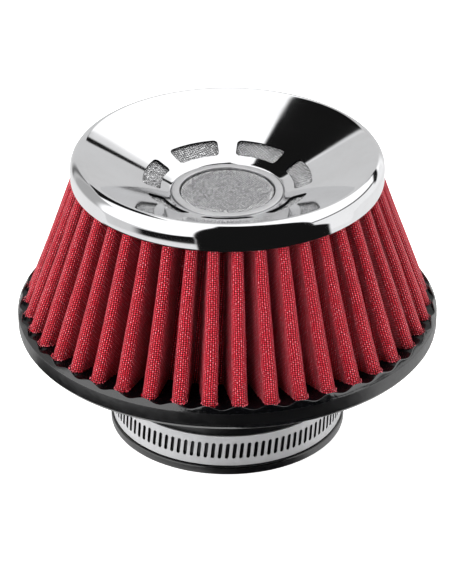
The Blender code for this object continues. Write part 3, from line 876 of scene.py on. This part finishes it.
def slotted_strip(name, radius, first_slot, slots, ends):
    """A strip round the neck with slanted slots. Its ends are plain for a length, the second rounded."""
    cell = pierced_cell((BAND_PITCH, BAND_WIDTH), BAND_SLOT, 0.64, 6, 12, 2, math.radians(-6))

    def on_band(x, y):
        a = math.pi / 2 - (x + first_slot * BAND_PITCH) / BAND_RADIUS
        return (radius * math.cos(a), radius * math.sin(a), BAND_MIDDLE + y)

    verts, faces = pierced_sheet(cell, BAND_PITCH, slots, on_band)
    if slots < BAND_SLOTS:
        steps, points = 9, 13
        tip_from = 0.72
        for start, length in ((0.0, -ends[0]), (slots * BAND_PITCH, ends[1])):
            first = len(verts)
            for s in np.linspace(0, 1, steps):
                shrink = 1.0
                if length > 0 and s >= tip_from:
                    shrink = math.sqrt(max(0.0, 1 - ((s - tip_from) / 0.30) ** 2))
                for y in np.linspace(-0.5, 0.5, points):
                    verts.append(on_band(start + s * length, y * BAND_WIDTH * shrink))
            faces += [tuple(first + i for i in f) for f in grid_faces(steps, points, wrap_columns=False)]
    obj = new_object(name, verts, faces)
    finish_mesh(obj, sharp=35, weld=0.004)
    probe = obj.data.polygons[0]
    if probe.normal.x * probe.center.x + probe.normal.y * probe.center.y < 0:
        obj.data.flip_normals()
    thicken(obj, BAND_SHEET)
    return finish_mesh(obj, sharp=35, weld=0.0005, recalc=False)


def housing():
    """Pressed bridge over the screw, feet folded down beside the band."""
    foot = BAND_WIDTH / 2 + 0.25
    bore = 3.95
    sheet = 0.65
    half = [(foot, 41.0), (foot, 43.35), (foot - 0.35, 43.75), (bore + 0.25, 44.0), (bore, 44.6)]
    roof = arc((0.0, SCREW_Y), bore, 0, 180, 24)[1:-1]
    inner = np.array(half + roof + [(-w, y) for w, y in reversed(half)])
    tangent = np.roll(inner, -1, 0) - np.roll(inner, 1, 0)
    tangent[0] = inner[1] - inner[0]
    tangent[-1] = inner[-1] - inner[-2]
    normal = np.column_stack([tangent[:, 1], -tangent[:, 0]])
    normal /= np.linalg.norm(normal, axis=1)[:, None]
    outer = inner + normal * sheet
    ring = np.concatenate([inner, outer[::-1]])
    reach = 6.6
    steps = 14
    verts = []
    for s in range(steps + 1):
        x = -reach + 2 * reach * s / steps
        pinch = 0.35 * (abs(x) > 5.4)
        for w, y in ring:
            lift = y - (pinch if y > SCREW_Y else 0)
            verts.append((x, lift, BAND_MIDDLE + w))
    count = len(ring)
    faces = grid_faces(steps + 1, count)
    half_count = len(inner)
    for s in (0, steps):
        base = s * count
        for i in range(half_count - 1):
            faces.append((base + i, base + i + 1, base + count - 2 - i, base + count - 1 - i))
    obj = finish_mesh(new_object("screw_housing", verts, faces), sharp=40)
    return bevel(obj, 0.12, 2, 50)


def hexagon(angle):
    """Radius of the screw's head, measured to its flats and corners."""
    sixth = math.pi / 3
    return HEAD_FLATS / 2 / math.cos((angle % sixth) - sixth / 2)


def worm_screw():
    """Worm with a right-hand thread, collar and hexagon head with a driver slot."""
    around = 96
    pitch = BAND_PITCH * TAIL_RADIUS / BAND_RADIUS
    root, crest = 2.35, 3.62

    def thread(x, a):
        phase = (x / pitch - a / TAU + 0.5) % 1.0
        rise = min(1.0, max(0.0, 1.9 - abs(phase - 0.5) / 0.17))
        ends = min(1.0, max(0.0, (6.3 - abs(x)) / 1.1))
        return root + (crest - root) * rise * ends

    def turned(x, radius):
        return x, lambda x, a: radius

    def head(x, limit):
        return x, lambda x, a: min(hexagon(a), limit)

    stations = [turned(-8.7, 1.2), turned(-8.5, 1.7), turned(-8.1, 1.9), turned(-6.7, 1.9), turned(-6.6, root)]
    stations += [(x, thread) for x in np.linspace(-6.4, 6.4, 106)]
    stations += [turned(6.9, root), turned(6.95, 3.5), turned(7.05, 3.75), turned(7.85, 3.75), turned(8.0, 3.6)]
    stations += [head(8.0, HEAD_FLATS), head(11.9, HEAD_FLATS), head(12.35, 3.75), head(12.75, 3.3)]
    stations += [turned(HEAD_END, 2.9)]
    verts = []
    for x, radius_at in stations:
        for i in range(around):
            a = TAU * i / around
            radius = radius_at(x, a)
            verts.append((x, SCREW_Y + radius * math.cos(a), BAND_MIDDLE + radius * math.sin(a)))
    last = (len(stations) - 1) * around
    faces = grid_faces(len(stations), around) + [tuple(range(around)), tuple(range(last, last + around))]
    screw = finish_mesh(new_object("worm_screw", verts, faces), sharp=32, weld=0.0002)
    bm = bmesh.new()
    bmesh.ops.create_cube(bm, size=1.0)
    for v in bm.verts:
        x, y, z = HEAD_END + v.co.x * 3.6, SCREW_Y + v.co.y * 1.15, BAND_MIDDLE + v.co.z * 9.0
        v.co = (x * MM, y * MM, z * MM)
    blade = bpy.data.objects.new("blade", bpy.data.meshes.new("blade"))
    bm.to_mesh(blade.data)
    bm.free()
    bpy.context.scene.collection.objects.link(blade)
    cut = screw.modifiers.new("driver_slot", "BOOLEAN")
    cut.operation = "DIFFERENCE"
    cut.solver = "EXACT"
    cut.object = blade
    apply_modifiers(screw)
    bpy.data.objects.remove(blade)
    return finish_mesh(screw, sharp=32, weld=0.0002)


# ================================================================ stage, light and camera

def world_light():
    """A studio round the object: two overhead softboxes, a pale backdrop and a dark room in front.
    Azimuths run from the back (+Y) towards +X. The camera itself sees plain white."""
    world = bpy.data.worlds.new("studio")
    world.use_nodes = True
    bpy.context.scene.world = world
    tree = world.node_tree
    tree.nodes.clear()

    def node(kind, *inputs, output=0, **props):
        made = tree.nodes.new(kind)
        for key, value in props.items():
            setattr(made, key, value)
        for socket, value in zip(made.inputs, inputs):
            if isinstance(value, bpy.types.NodeSocket):
                tree.links.new(value, socket)
            else:
                socket.default_value = value
        return made.outputs[output] if made.outputs else made

    def calc(operation, *values):
        return node("ShaderNodeMath", *values, operation=operation)

    def step(value, edge, soft):
        return node("ShaderNodeMapRange", value, edge - soft, edge + soft, 0.0, 1.0,
                    interpolation_type="SMOOTHSTEP")

    direction = node("ShaderNodeTexCoord", output="Generated")
    up = node("ShaderNodeSeparateXYZ", direction, output=2)

    def towards(azimuth, rise=0.0):
        """Cosine of the angle to a direction."""
        a, e = math.radians(azimuth), math.radians(rise)
        way = (math.sin(a) * math.cos(e), math.cos(a) * math.cos(e), math.sin(e))
        return node("ShaderNodeVectorMath", direction, way, output=1, operation="DOT_PRODUCT")

    def side(azimuth, rise=0.0, edge=0.0, soft=0.02):
        """1 in the half of space that faces a direction."""
        return step(towards(azimuth, rise), edge, soft)

    def off(mask):
        return calc("SUBTRACT", 1.0, mask)

    def below(elevation, soft=0.02):
        return off(step(up, math.sin(math.radians(elevation)), soft))

    def paint(under, value, *masks):
        """A brightness laid over another wherever all the masks are 1."""
        mask = masks[0]
        for more in masks[1:]:
            mask = calc("MULTIPLY", mask, more)
        return calc("ADD", calc("MULTIPLY", under, off(mask)), calc("MULTIPLY", mask, value))

    left_of_room, right_of_room = side(-67), side(28)
    light = paint(DARK, BOX, calc("MAXIMUM", calc("MULTIPLY", side(30, -5), right_of_room),
                                  calc("MULTIPLY", side(-80, 0, 0.06), left_of_room)))
    # dark gap between the left box and the backdrop
    light = paint(light, DARK, side(-80, -19.4, 0.0, 0.015), side(30, 0, 0.0, 0.05), off(below(35)))
    # backdrop, greyer towards the left, with a fold
    light = paint(light, 0.66, below(34.5), side(10, 0, 0.0, 0.10), side(-60, 0, 0.0, 0.10))
    light = paint(light, 0.45, below(34.0), side(10, 0, 0.0, 0.10), off(side(45, 0, 0.0, 0.08)), side(-60))
    light = paint(light, 0.17, below(33, 0.05), side(-38), off(step(calc("ABSOLUTE", towards(52)), 0.06, 0.06)))
    # white board low on the right, and the dark slits round it
    light = paint(light, 1.0, side(95, -68), side(122, 0, 0.0, 0.06), right_of_room)
    width = node("ShaderNodeMapRange", towards(90), 0.30, 0.62, 0.010, 0.07)
    slit = off(step(calc("DIVIDE", calc("ABSOLUTE", towards(-28.2, -47.0)), width), 1.0, 0.4))
    light = paint(light, DARK, slit, side(102, 0, 0.0, 0.06), off(side(142, 0, 0.0, 0.05)), off(below(3)))
    slit = off(step(calc("ABSOLUTE", towards(95, -68)), 0.05, 0.035))
    light = paint(light, 0.03, slit, side(140, 0, 0.0, 0.06), right_of_room)
    # the left box ends above the table
    light = paint(light, 0.7, below(-17, 0.05), left_of_room, side(-80, 0, 0.06))
    # table top, and its dark edge at the front left
    light = paint(light, 0.9, below(-12, 0.12), side(-15), side(10))
    light = paint(light, DARK, side(97, -60.5), off(below(-31.5)), side(160, 0, 0.0, 0.10), left_of_room)
    light = paint(light, 0.9, below(-31.5, 0.012), calc("MAXIMUM", left_of_room, right_of_room))
    # the dark room reaches further right low down
    light = paint(light, DARK, below(2, 0.03), off(side(28, 29)), side(100))
    # matte surfaces are lit more strongly than the clipped white of the mirror reflections
    diffuse = node("ShaderNodeLightPath", output="Is Diffuse Ray")
    light = paint(light, calc("MULTIPLY", light, DIFFUSE_GAIN), diffuse)
    shown = paint(light, 1.0, node("ShaderNodeLightPath", output="Is Camera Ray"))
    background = node("ShaderNodeBackground", (1.0, 1.0, 1.0, 1.0), shown)
    node("ShaderNodeOutputWorld", background)


def matte(name, colour, roughness):
    """A plain material without gloss for the stage, and its shader."""
    mat = bpy.data.materials.new(name)
    mat.use_nodes = True
    shader = mat.node_tree.nodes["Principled BSDF"]
    shader.inputs["Base Color"].default_value = (*colour, 1.0)
    shader.inputs["Roughness"].default_value = roughness
    shader.inputs["Specular IOR Level"].default_value = 0.0
    return mat, shader


def pale_floor():
    mat, shader = matte("pale_floor", (0.93, 0.93, 0.93), 0.9)
    shader.inputs["Emission Color"].default_value = (1.0, 1.0, 1.0, 1.0)
    shader.inputs["Emission Strength"].default_value = 0.8
    half = 4000.0
    corners = [(-half, -half, 0), (half, -half, 0), (half, half, 0), (-half, half, 0)]
    floor = new_object("floor", corners, [(0, 1, 2, 3)])
    floor.data.materials.append(mat)
    floor.visible_glossy = False


def painted_shade_apron():
    """A dark sheet on the floor round the front, which only the reflections see: painted shade standing for the
    table's shadow near the object.
    """
    mat, _ = matte("painted_shade_apron", (0.004, 0.004, 0.004), 1.0)
    steps = 60
    angles = np.radians(np.linspace(-55, -186, steps))
    rim = [(r * math.cos(a), r * math.sin(a), 0.2) for a in angles for r in (78.0, 165.0)]
    apron = new_object("painted_shade_apron", rim, grid_faces(steps, 2, wrap_columns=False))
    apron.data.materials.append(mat)
    apron.visible_camera = False
    apron.visible_diffuse = False
    apron.visible_shadow = False


def camera():
    """The view from 29.7 degrees above level, with a long lens."""
    data = bpy.data.cameras.new("camera")
    data.sensor_width = 36.0
    data.lens = 206.9
    data.clip_end = 20.0
    obj = bpy.data.objects.new("camera", data)
    distance = 1.2
    raised = math.radians(29.74)
    target = Vector((-0.0005, 0.0, 0.0503))
    obj.location = target + Vector((0.0, -math.cos(raised), math.sin(raised))) * distance
    obj.rotation_euler = (target - obj.location).to_track_quat("-Z", "Y").to_euler()
    bpy.context.scene.collection.objects.link(obj)
    bpy.context.scene.camera = obj


# ================================================================ put together

def build():
    waves = pleat_waves(random.Random(3), 1.0)
    rubber = rubber_material()
    resin = resin_material()
    clamp_steel = clamp_material()
    zinc = zinc_material()
    cotton = cotton_material()
    red = red_gauze_material()
    # the dark colour is painted shade in the weave's holes
    grey = wire_gauze_material("grey_wire_gauze", 0.80, (0.08, 0.08, 0.083), (0.84, 0.84, 0.85))

    finish(base_moulding(), "filter", rubber, "base_rubber", "base_moulding")
    finish(base_potting(waves), "filter", resin, "potting_resin", "base_potting")
    rows = 30
    gauze = finish(pleated_piece("pleated_gauze", 0.0, 0.35, rows, PACK_BOTTOM, PACK_TOP, waves),
                   "filter", red, "red_gauze", "outer_gauze")
    media = finish(pleated_piece("pleated_cotton", 0.4, 0.55, 6, PACK_BOTTOM, 98.0, waves),
                   "filter", cotton, "cotton_media", "pleated_media")
    finish(pleated_piece("pleated_wire", 1.0, 0.35, 6, 45.9, 97.9, waves),
           "filter", screen_material(), "cage_steel", "inner_screen")
    finish(frayed_edge(waves), "filter", red, "red_gauze")
    finish(expanded_cage(), "filter", zinc, "cage_steel", "inner_cage")
    finish(seam(), "filter", zinc, "cage_steel", "seam_strip")
    finish(cap_shell(), "filter", chrome_material(), "cap_chrome", "top_cap")
    finish(collar(), "filter", satin_ring_material(), "ring_satin", "centre_ring")
    finish(dished("cap_gauze", 0.0, 0.35), "filter", grey, "grey_wire", "top_outer_screen")
    finish(dished("cap_media", 0.65, 1.0), "filter", cotton, "cotton_media", "top_media")
    finish(dished("cap_inner_gauze", 1.95, 0.35), "filter", grey, "grey_wire", "top_inner_screen")
    finish(cap_resin(), "filter", resin, "potting_resin", "top_potting")
    finish(slotted_strip("band_loop", BAND_RADIUS, 0, BAND_SLOTS, (0, 0)),
           "clamp", clamp_steel, "clamp_steel", "clamp_band")
    finish(housing(), "clamp", clamp_steel, "clamp_steel", "clamp_housing")
    finish(slotted_strip("band_tail", TAIL_RADIUS, -6.5, 17, (2.0, 4.5)),
           "tail", clamp_steel, "clamp_steel", "clamp_tail")
    finish(worm_screw(), "screw", clamp_steel, "clamp_steel", "clamp_screw")
    return gauze, media


gauze, media = build()
length = (outline_length(0) + outline_length(1)) / 2
pale_floor()
painted_shade_apron()
world_light()
camera()
bpy.context.scene.view_settings.view_transform = "Standard"
